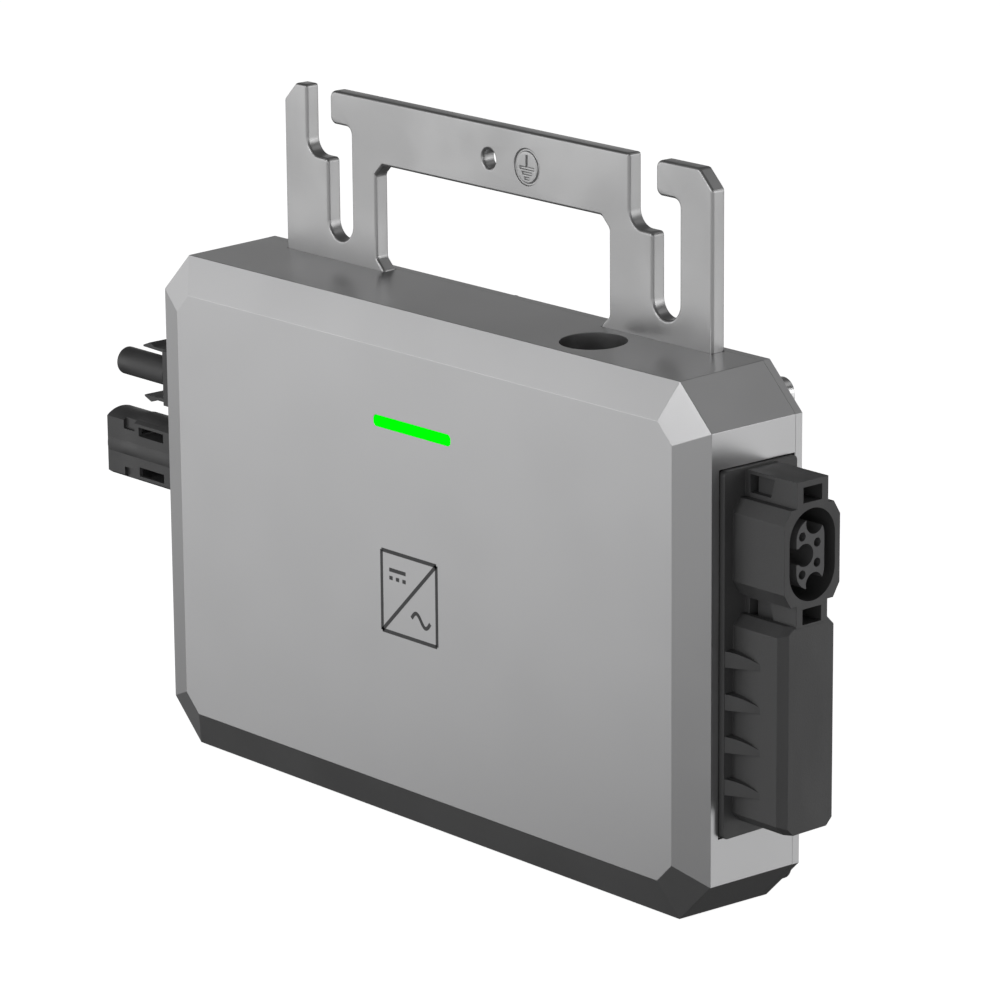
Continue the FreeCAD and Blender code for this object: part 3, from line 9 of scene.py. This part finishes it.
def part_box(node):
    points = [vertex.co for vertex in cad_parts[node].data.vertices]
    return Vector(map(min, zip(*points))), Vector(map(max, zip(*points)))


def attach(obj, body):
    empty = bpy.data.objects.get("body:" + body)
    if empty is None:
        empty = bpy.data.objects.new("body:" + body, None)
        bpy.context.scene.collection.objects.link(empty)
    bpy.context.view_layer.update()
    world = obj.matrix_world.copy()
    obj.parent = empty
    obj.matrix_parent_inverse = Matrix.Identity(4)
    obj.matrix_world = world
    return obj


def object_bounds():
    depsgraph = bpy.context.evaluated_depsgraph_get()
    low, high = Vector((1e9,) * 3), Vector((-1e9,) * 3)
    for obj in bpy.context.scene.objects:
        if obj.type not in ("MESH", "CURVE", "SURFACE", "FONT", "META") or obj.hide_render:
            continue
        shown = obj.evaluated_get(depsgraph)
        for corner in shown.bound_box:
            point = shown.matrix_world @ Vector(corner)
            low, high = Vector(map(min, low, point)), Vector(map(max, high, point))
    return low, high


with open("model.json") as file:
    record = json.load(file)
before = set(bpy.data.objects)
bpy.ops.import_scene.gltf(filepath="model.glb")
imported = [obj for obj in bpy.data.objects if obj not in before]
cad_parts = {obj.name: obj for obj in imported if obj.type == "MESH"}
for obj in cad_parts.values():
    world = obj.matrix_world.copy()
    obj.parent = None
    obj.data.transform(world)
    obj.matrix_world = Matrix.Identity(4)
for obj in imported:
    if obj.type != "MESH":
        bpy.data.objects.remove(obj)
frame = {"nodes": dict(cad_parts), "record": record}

# Looks for the micro inverter: finishes for every CAD node, softened edges, a printed
# circuit sign on the front, the studio and the camera. Lengths are in metres.

MM = 0.001
NODES = frame["nodes"]
CAD_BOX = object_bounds()


# ---------------------------------------------------------------- node helpers

# Most noise values lie between these two.
NOISE_LOW = 0.3
NOISE_HIGH = 0.7


class Finish:
    """A material under construction: its node tree, its shader and its surface coordinates."""

    def __init__(self, name, roughness, metallic=0.0, specular=0.5):
        self.material = bpy.data.materials.new(name)
        self.material.use_nodes = True
        self.tree = self.material.node_tree
        self.shader = self.tree.nodes["Principled BSDF"]
        self.shader.inputs["Roughness"].default_value = roughness
        self.shader.inputs["Metallic"].default_value = metallic
        self.shader.inputs["Specular IOR Level"].default_value = specular
        self.coords = self.tree.nodes.new("ShaderNodeTexCoord").outputs["Object"]

    def link(self, output, socket):
        self.tree.links.new(output, socket)

    def noise(self, scale, detail, stretch=(1, 1, 1)):
        """Noise whose grains are about 1/scale metres wide, longer along a stretched axis."""
        mapping = self.tree.nodes.new("ShaderNodeMapping")
        mapping.inputs["Scale"].default_value = [1.0 / factor for factor in stretch]
        self.link(self.coords, mapping.inputs["Vector"])
        texture = self.tree.nodes.new("ShaderNodeTexNoise")
        texture.inputs["Scale"].default_value = scale
        texture.inputs["Detail"].default_value = detail
        self.link(mapping.outputs["Vector"], texture.inputs["Vector"])
        return texture.outputs["Fac"]

    def remap(self, value, low, high):
        """Spreads a noise value over a range from low to high."""
        node = self.tree.nodes.new("ShaderNodeMapRange")
        node.interpolation_type = "SMOOTHSTEP"
        node.inputs["From Min"].default_value = NOISE_LOW
        node.inputs["From Max"].default_value = NOISE_HIGH
        node.inputs["To Min"].default_value = low
        node.inputs["To Max"].default_value = high
        self.link(value, node.inputs["Value"])
        return node.outputs["Result"]

    def colour(self, rgb, value, spread):
        """The base colour, a little darker and lighter where the noise value falls and rises."""
        ramp = self.tree.nodes.new("ShaderNodeValToRGB")
        ramp.color_ramp.interpolation = "EASE"
        ends = ((NOISE_LOW, 1 - spread), (NOISE_HIGH, 1 + spread))
        for stop, (position, factor) in zip(ramp.color_ramp.elements, ends):
            stop.position = position
            stop.color = [channel * factor for channel in rgb] + [1]
        self.link(value, ramp.inputs["Fac"])
        self.link(ramp.outputs["Color"], self.shader.inputs["Base Color"])

    def roughness(self, value, low, high):
        self.link(self.remap(value, low, high), self.shader.inputs["Roughness"])

    def bump(self, heights):
        """Relief from a list of (noise value, depth in metres)."""
        normal = None
        for value, depth in heights:
            node = self.tree.nodes.new("ShaderNodeBump")
            node.inputs["Distance"].default_value = depth
            self.link(value, node.inputs["Height"])
            if normal:
                self.link(normal, node.inputs["Normal"])
            normal = node.outputs["Normal"]
        self.link(normal, self.shader.inputs["Normal"])


# ---------------------------------------------------------------- finishes


def satin_coat(name):
    """Grey casing coat: a satin sheen like metal's, faintly cloudy, with tiny grains."""
    finish = Finish(name, 0.3, metallic=0.9, specular=0.45)
    cloud = finish.noise(45, 2)
    grain = finish.noise(1800, 2)
    finish.colour((0.5, 0.5, 0.505), cloud, 0.01)
    finish.roughness(cloud, 0.282, 0.32)
    finish.bump([(grain, 0.000002)])
    return finish.material


def tumbled_sheet(name):
    """Tumbled stainless sheet: a satin, slightly cloudy surface with very fine grain."""
    finish = Finish(name, 0.36, metallic=0.9, specular=0.5)
    grain = finish.noise(2600, 2)
    cloud = finish.noise(60, 3)
    finish.colour((0.485, 0.485, 0.487), cloud, 0.015)
    finish.roughness(cloud, 0.32, 0.42)
    finish.bump([(grain, 0.000004)])
    return finish.material


def moulded(name, rgb, grain_scale=2600, rough=(0.42, 0.6), specular=0.5):
    """Injection-moulded plastic with an eroded texture and slight flow marks."""
    finish = Finish(name, rough[0], specular=specular)
    grain = finish.noise(grain_scale, 3)
    flow = finish.noise(110, 3, stretch=(1, 1, 3))
    finish.colour(rgb, flow, 0.12)
    finish.roughness(flow, *rough)
    finish.bump([(grain, 0.00003), (flow, 0.00002)])
    return finish.material


def rubber(name, rgb):
    """Matt rubber, ceramic or membrane with a dusty grain."""
    finish = Finish(name, 0.7, specular=0.35)
    dust = finish.noise(900, 4)
    finish.colour(rgb, dust, 0.2)
    finish.roughness(dust, 0.6, 0.8)
    finish.bump([(dust, 0.00003)])
    return finish.material


def bare_metal(name, rgb, rough=(0.2, 0.36)):
    """Turned or tinned metal with fine marks and uneven polish."""
    finish = Finish(name, rough[0], metallic=1.0)
    marks = finish.noise(3000, 2)
    cloud = finish.noise(400, 3)
    finish.colour(rgb, cloud, 0.08)
    finish.roughness(cloud, *rough)
    finish.bump([(marks, 0.00001)])
    return finish.material


def glowing(name):
    """The lit light guide: green, and very slightly uneven."""
    finish = Finish(name, 0.6, specular=0.0)
    glow = finish.noise(130, 1)
    ramp = finish.tree.nodes.new("ShaderNodeValToRGB")
    ramp.color_ramp.elements[0].color = (0.0, 0.98, 0.0, 1)
    ramp.color_ramp.elements[1].color = (0.0, 1.0, 0.004, 1)
    finish.link(glow, ramp.inputs["Fac"])
    finish.shader.inputs["Base Color"].default_value = (0.0, 0.05, 0.0, 1)
    finish.link(ramp.outputs["Color"], finish.shader.inputs["Emission Color"])
    finish.shader.inputs["Emission Strength"].default_value = 1.05
    return finish.material


def solder_mask(name):
    """Green circuit board: glossy lacquer over a faint pattern of traces."""
    finish = Finish(name, 0.3)
    traces = finish.noise(260, 0, stretch=(6, 1, 1))
    weave = finish.noise(1500, 2)
    finish.colour((0.015, 0.13, 0.05), traces, 0.35)
    finish.roughness(weave, 0.25, 0.4)
    finish.bump([(traces, 0.00003), (weave, 0.00001)])
    return finish.material


def wound_wire(name):
    """Enamelled copper wire, laid turn by turn."""
    finish = Finish(name, 0.3, metallic=0.9)
    turns = finish.noise(900, 1, stretch=(8, 1, 8))
    finish.colour((0.55, 0.20, 0.07), turns, 0.25)
    finish.roughness(turns, 0.22, 0.4)
    finish.bump([(turns, 0.00008)])
    return finish.material


FINISHES = {
    "casing_coat": satin_coat,
    "plate_metal": tumbled_sheet,
    "connector_black": lambda name: moulded(name, (0.075, 0.075, 0.076), specular=0.6),
    "insert_grey": lambda name: moulded(name, (0.125, 0.125, 0.128), 3200),
    "seal_rubber": lambda name: rubber(name, (0.018, 0.018, 0.018)),
    "screw_steel": lambda name: bare_metal(name, (0.75, 0.75, 0.75)),
    "light_green": glowing,
    "contact_metal": lambda name: bare_metal(name, (0.55, 0.52, 0.46), (0.25, 0.4)),
    "vent_plastic": lambda name: moulded(name, (0.06, 0.06, 0.062)),
    "membrane_white": lambda name: rubber(name, (0.75, 0.75, 0.73)),
    "board_green": solder_mask,
    "ferrite": lambda name: rubber(name, (0.05, 0.05, 0.055)),
    "copper_wire": wound_wire,
    "component_black": lambda name: moulded(name, (0.02, 0.02, 0.02)),
    "component_grey": lambda name: moulded(name, (0.35, 0.36, 0.38)),
    "capacitor_can": lambda name: bare_metal(name, (0.5, 0.51, 0.53), (0.35, 0.5)),
    "relay_case": lambda name: moulded(name, (0.05, 0.07, 0.16)),
    "varistor_blue": lambda name: moulded(name, (0.03, 0.08, 0.3), 900, (0.25, 0.4)),
    "pad_grey": lambda name: rubber(name, (0.3, 0.31, 0.33)),
    "radio_can": lambda name: bare_metal(name, (0.6, 0.6, 0.61), (0.25, 0.4)),
    "lamp_white": lambda name: moulded(name, (0.8, 0.8, 0.75), 900, (0.2, 0.35)),
}


def dress_nodes():
    """Gives each CAD node the finish of its material slot."""
    materials = {slot: make(slot) for slot, make in FINISHES.items()}
    for part in frame["record"]["subparts"]:
        node = NODES[part["node"]]
        node.data.materials.clear()
        node.data.materials.append(materials[part["material_slot"]])


# ---------------------------------------------------------------- softened edges

SHARP_ANGLE = math.radians(15)
WELD_DISTANCE = 0.002 * MM
BEVEL_SEGMENTS = 3
FACE_WEIGHT = 100

# How far outside a spot's radius the rounding is back at its full width.
SPOT_MARGIN = 0.1 * MM

# Spots of the plate with less rounding: centre, radius and the share of the width that is left.
PLATE_SPOTS = (
    (Vector((12.8, 7.2, 152.85)) * MM, 5.2 * MM, 0.25),
    (Vector((0.0, 9.15, 117.8)) * MM, 5 * MM, 0.0),
)

# Widths of the softened edges, in millimetres.
EDGES = {
    "front_casing": 0.09,
    "mounting_plate": 0.7,
    "ac_housing": 0.08,
    "vent_cap": 0.2,
    "cover_screws": 0.2,
    "plate_screws": 0.2,
    "dc_plug_nut": 0.3,
    "dc_socket_nut": 0.3,
    "film_capacitors": 0.5,
    "grid_relays": 0.4,
    "power_transistors": 0.1,
    "transformer_core": 0.3,
}


def weigh_plate_edges(node):
    """Marks the plate's sharp edges for rounding, apart from its two spots."""
    tree = bpy.data.node_groups.new("plate_edges", "GeometryNodeTree")
    for way in ("INPUT", "OUTPUT"):
        tree.interface.new_socket("Geometry", in_out=way, socket_type="NodeSocketGeometry")
    start = tree.nodes.new("NodeGroupInput")
    end = tree.nodes.new("NodeGroupOutput")
    place = tree.nodes.new("GeometryNodeInputPosition").outputs["Position"]
    angle = tree.nodes.new("GeometryNodeInputMeshEdgeAngle").outputs["Unsigned Angle"]
    weight = tree.nodes.new("ShaderNodeMath")
    weight.operation = "GREATER_THAN"
    weight.inputs[1].default_value = SHARP_ANGLE
    tree.links.new(angle, weight.inputs[0])
    for centre, reach, share in PLATE_SPOTS:
        away = tree.nodes.new("ShaderNodeVectorMath")
        away.operation = "DISTANCE"
        away.inputs[1].default_value = centre
        tree.links.new(place, away.inputs[0])
        spot = tree.nodes.new("ShaderNodeMapRange")
        spot.inputs["From Min"].default_value = reach
        spot.inputs["From Max"].default_value = reach + SPOT_MARGIN
        spot.inputs["To Min"].default_value = share
        tree.links.new(away.outputs["Value"], spot.inputs["Value"])
        both = tree.nodes.new("ShaderNodeMath")
        both.operation = "MULTIPLY"
        tree.links.new(weight.outputs["Value"], both.inputs[0])
        tree.links.new(spot.outputs["Result"], both.inputs[1])
        weight = both
    store = tree.nodes.new("GeometryNodeStoreNamedAttribute")
    store.domain = "EDGE"
    store.inputs["Name"].default_value = "bevel_weight_edge"
    tree.links.new(start.outputs[0], store.inputs["Geometry"])
    tree.links.new(weight.outputs["Value"], store.inputs["Value"])
    tree.links.new(store.outputs["Geometry"], end.inputs[0])
    node.modifiers.new("weights", "NODES").node_group = tree


def soften_edges():
    """Rounds each sharp edge a little, so that it catches the light."""
    for name, width in EDGES.items():
        node = NODES[name]
        weld = node.modifiers.new("weld", "WELD")
        weld.merge_threshold = WELD_DISTANCE
        if name == "mounting_plate":
            weigh_plate_edges(node)
        bevel = node.modifiers.new("edges", "BEVEL")
        bevel.width = width * MM
        bevel.segments = BEVEL_SEGMENTS
        bevel.limit_method = "WEIGHT" if name == "mounting_plate" else "ANGLE"
        bevel.angle_limit = SHARP_ANGLE
        bevel.use_clamp_overlap = False
        bevel.loop_slide = False
        normals = node.modifiers.new("normals", "WEIGHTED_NORMAL")
        normals.weight = FACE_WEIGHT


# ---------------------------------------------------------------- printed sign

SIGN_CENTRE = Vector((-1.6 * MM, 55.0 * MM))
SIGN_SIZE = 19 * MM
SIGN_LINE = 0.9 * MM
SIGN_THICKNESS = 0.02 * MM

# The direct-current sign: ends and level of its line, and the drop to its dashes.
DIRECT_LEFT = -0.36 * SIGN_SIZE
DIRECT_RIGHT = -0.06 * SIGN_SIZE
DIRECT_LEVEL = 0.28 * SIGN_SIZE
DIRECT_DROP = 0.1 * SIGN_SIZE

# The wave, in shares of the sign's size.
WAVE_START = 0.04
WAVE_LENGTH = 0.34
WAVE_LEVEL = -0.24
WAVE_HEIGHT = 0.075
WAVE_STEPS = 28


def ribbon(mesh, points, front_y):
    """Adds a flat printed line of even width through points (x, z) on the front face."""
    half = SIGN_LINE / 2
    sides = []
    for index, point in enumerate(points):
        before = points[max(index - 1, 0)]
        after = points[min(index + 1, len(points) - 1)]
        along = (after - before).normalized()
        across = Vector((-along.y, along.x)) * half
        sides.append((point + across, point - across))
    rows = []
    for depth in (front_y, front_y - SIGN_THICKNESS):
        rows.append(
            [[mesh.verts.new((spot.x, depth, spot.y)) for spot in pair] for pair in sides]
        )
    back, front = rows
    for here, there in zip(range(len(sides) - 1), range(1, len(sides))):
        mesh.faces.new((front[here][0], front[here][1], front[there][1], front[there][0]))
        mesh.faces.new((back[here][0], back[there][0], back[there][1], back[here][1]))
        for edge in (0, 1):
            mesh.faces.new(
                (front[here][edge], front[there][edge], back[there][edge], back[here][edge])
            )
    for end in (0, -1):
        mesh.faces.new((front[end][0], front[end][1], back[end][1], back[end][0]))


def sign_lines():
    """The drawing sign of a converter: a square with a diagonal, direct current in, a wave out."""
    half = SIGN_SIZE / 2
    low, high = -half, half
    square = [(low, low), (high, low), (high, high), (low, high), (low, low)]
    lines = [square[index:index + 2] for index in range(4)]
    lines.append([(low, low), (high, high)])
    lines.append([(DIRECT_LEFT, DIRECT_LEVEL), (DIRECT_RIGHT, DIRECT_LEVEL)])
    dash = (DIRECT_RIGHT - DIRECT_LEFT) / 5
    dash_level = DIRECT_LEVEL - DIRECT_DROP
    for index in range(3):
        start = DIRECT_LEFT + 2 * index * dash
        lines.append([(start, dash_level), (start + dash, dash_level)])
    wave = []
    for index in range(WAVE_STEPS + 1):
        share = index / WAVE_STEPS
        x = (WAVE_START + WAVE_LENGTH * share) * SIGN_SIZE
        z = (WAVE_LEVEL + WAVE_HEIGHT * math.sin(2 * math.pi * share)) * SIGN_SIZE
        wave.append((x, z))
    lines.append(wave)
    return [[SIGN_CENTRE + Vector(point) for point in line] for line in lines]


def print_sign():
    """Lays the sign's lines on the front face as one thin body."""
    front_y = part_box("front_casing")[0][1]
    mesh = bmesh.new()
    for line in sign_lines():
        ribbon(mesh, line, front_y)
    bmesh.ops.recalc_face_normals(mesh, faces=mesh.faces)
    data = bpy.data.meshes.new("front_sign")
    mesh.to_mesh(data)
    sign = bpy.data.objects.new("front_sign", data)
    bpy.context.scene.collection.objects.link(sign)
    ink = Finish("printing_ink", 0.55, specular=0.4)
    speck = ink.noise(2500, 3)
    ink.colour((0.085, 0.085, 0.087), speck, 0.1)
    ink.roughness(speck, 0.5, 0.65)
    ink.bump([(speck, 0.00001)])
    data.materials.append(ink.material)
    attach(sign, "inverter")


# ---------------------------------------------------------------- studio

AIM = Vector((11.12, 0.0, 77.45)) * MM
CAMERA_AT = Vector((829.76, -720.10, 378.87)) * MM
CAMERA_ROLL = math.radians(-0.48)
CAMERA_LENS = 181.25


def aimed(position, target, roll=0.0):
    """A placement that looks from a position to a target."""
    turn = (target - position).to_track_quat("-Z", "Y").to_matrix().to_4x4()
    return Matrix.Translation(position) @ turn @ Matrix.Rotation(roll, 4, "Z")


def add_camera():
    data = bpy.data.cameras.new("camera")
    data.lens = CAMERA_LENS
    data.clip_start = 0.01
    camera = bpy.data.objects.new("camera", data)
    camera.matrix_world = aimed(CAMERA_AT, AIM, CAMERA_ROLL)
    bpy.context.scene.collection.objects.link(camera)
    bpy.context.scene.camera = camera


def add_softbox(name, azimuth, elevation, distance, size, power):
    """A square soft light. Azimuth 0 stands in front of the casing, 90 on the mains side."""
    turn, rise = math.radians(azimuth), math.radians(elevation)
    level = math.cos(rise)
    direction = Vector((math.sin(turn) * level, -math.cos(turn) * level, math.sin(rise)))
    data = bpy.data.lights.new(name, "AREA")
    data.shape = "SQUARE"
    data.size = size
    data.energy = power
    light = bpy.data.objects.new(name, data)
    light.matrix_world = aimed(AIM + direction * distance, AIM)
    light.visible_camera = False
    bpy.context.scene.collection.objects.link(light)


SOFTBOXES = {
    # name: azimuth, elevation, distance, size, power
    "front": (-48, -10, 1.6, 0.7, 0.9),
    "front_high": (-50, 16, 1.6, 0.6, 0.9),
    "front_right": (-5, -10, 1.6, 0.5, 0.12),
    "overhead": (-10, 25, 1.6, 0.6, 3.5),
    "side": (130, -19, 1.6, 0.7, 1.15),
    "side_high": (125, 15, 1.6, 0.6, 2.0),
    "rear_high": (157, 46, 1.6, 0.6, 0.52),
    "left": (-92, -10, 1.6, 0.5, 0.05),
}


FLOOR_REACH = 20.0
FLOOR_GAP = 0.2 * MM
FLOOR_GLOW = 0.9


def add_floor():
    """A wide pale floor that reads as white and leaves the object's own light alone."""
    data = bpy.data.meshes.new("floor")
    mesh = bmesh.new()
    bmesh.ops.create_grid(mesh, x_segments=1, y_segments=1, size=FLOOR_REACH)
    mesh.to_mesh(data)
    floor = bpy.data.objects.new("floor", data)
    floor.location.z = CAD_BOX[0][2] - FLOOR_GAP
    floor.visible_diffuse = False
    floor.visible_glossy = False
    floor.visible_shadow = False
    bpy.context.scene.collection.objects.link(floor)
    finish = Finish("floor", 0.9, specular=0.1)
    finish.colour((0.85, 0.85, 0.85), finish.noise(3, 2), 0.01)
    finish.shader.inputs["Emission Color"].default_value = (1, 1, 1, 1)
    finish.shader.inputs["Emission Strength"].default_value = FLOOR_GLOW
    data.materials.append(finish.material)


# Greys of the surroundings from straight below (-1) to straight above (1).
SKY = ((-1, 0.02), (-0.6, 0.05), (-0.35, 0.15), (0, 1.15), (0.3, 0.14), (0.6, 0.07), (1, 0.1))


def add_world():
    """Grey surroundings, brightest at the horizon and dark above and below."""
    world = bpy.data.worlds.new("studio")
    world.use_nodes = True
    tree = world.node_tree
    background = tree.nodes["Background"]
    direction = tree.nodes.new("ShaderNodeTexCoord").outputs["Generated"]
    split = tree.nodes.new("ShaderNodeSeparateXYZ")
    height = tree.nodes.new("ShaderNodeMapRange")
    height.inputs["From Min"].default_value = -1
    ramp = tree.nodes.new("ShaderNodeValToRGB")
    stops = ramp.color_ramp.elements
    while len(stops) < len(SKY):
        stops.new(0.5)
    for stop, (level, grey) in zip(stops, SKY):
        stop.position = (level + 1) / 2
        stop.color = (grey, grey, grey, 1)
    tree.links.new(direction, split.inputs["Vector"])
    tree.links.new(split.outputs["Z"], height.inputs["Value"])
    tree.links.new(height.outputs["Result"], ramp.inputs["Fac"])
    tree.links.new(ramp.outputs["Color"], background.inputs["Color"])
    bpy.context.scene.world = world


dress_nodes()
soften_edges()
print_sign()
add_floor()
add_world()
for softbox, settings in SOFTBOXES.items():
    add_softbox(softbox, *settings)
add_camera()
bpy.context.scene.view_settings.view_transform = "Standard"
